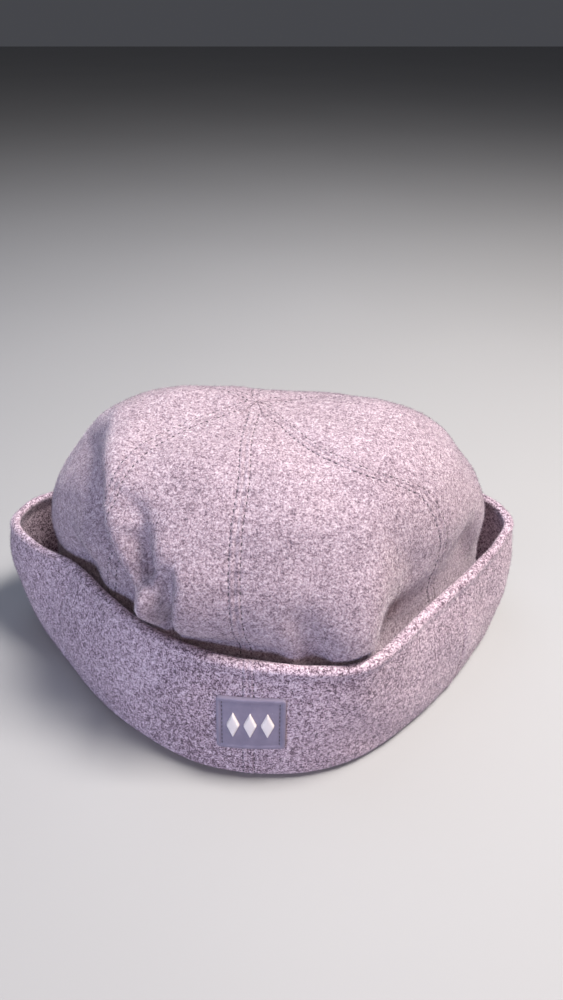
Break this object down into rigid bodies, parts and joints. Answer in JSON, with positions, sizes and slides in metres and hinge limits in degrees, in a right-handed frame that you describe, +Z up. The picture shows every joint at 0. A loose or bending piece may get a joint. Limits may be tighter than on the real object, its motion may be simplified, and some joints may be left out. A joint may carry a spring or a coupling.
{
  "type": "soft wool hat with a turned-up cuff",
  "caption": "Soft gored wool hat with a squashed dome crown, a wide turned-up cuff all round and a small stitched badge on the cuff's front.",
  "frame": {"origin": "on the surface that the hat rests on, under the middle of its outline", "axes": "+Z up, the front with the badge towards -Y, +X to the right of someone who looks at the front"},
  "size_m": [0.26, 0.189, 0.1362],
  "materials": {
    "wool_crown": "heather wool melton, brushed, grey mauve with light and dark fibres",
    "wool_cuff": "heather wool melton, brushed, grey mauve with light and dark fibres, slightly darker",
    "badge_rubber": "soft matte slate blue rubber",
    "badge_mark": "smooth matte cream rubber, raised"
  },
  "bodies": {
    "root": {"crown_gore_front_left": "wool_crown", "crown_gore_front_right": "wool_crown", "crown_gore_right": "wool_crown", "crown_gore_back_right": "wool_crown", "crown_gore_back_left": "wool_crown", "crown_gore_left": "wool_crown", "cuff_panel_front_left": "wool_cuff", "cuff_panel_front_right": "wool_cuff", "cuff_panel_right": "wool_cuff", "cuff_panel_back_right": "wool_cuff", "cuff_panel_back_left": "wool_cuff", "cuff_panel_left": "wool_cuff", "badge_plate": "badge_rubber", "badge_lozenge_1": "badge_mark", "badge_lozenge_2": "badge_mark", "badge_lozenge_3": "badge_mark"}
  },
  "joints": []
}
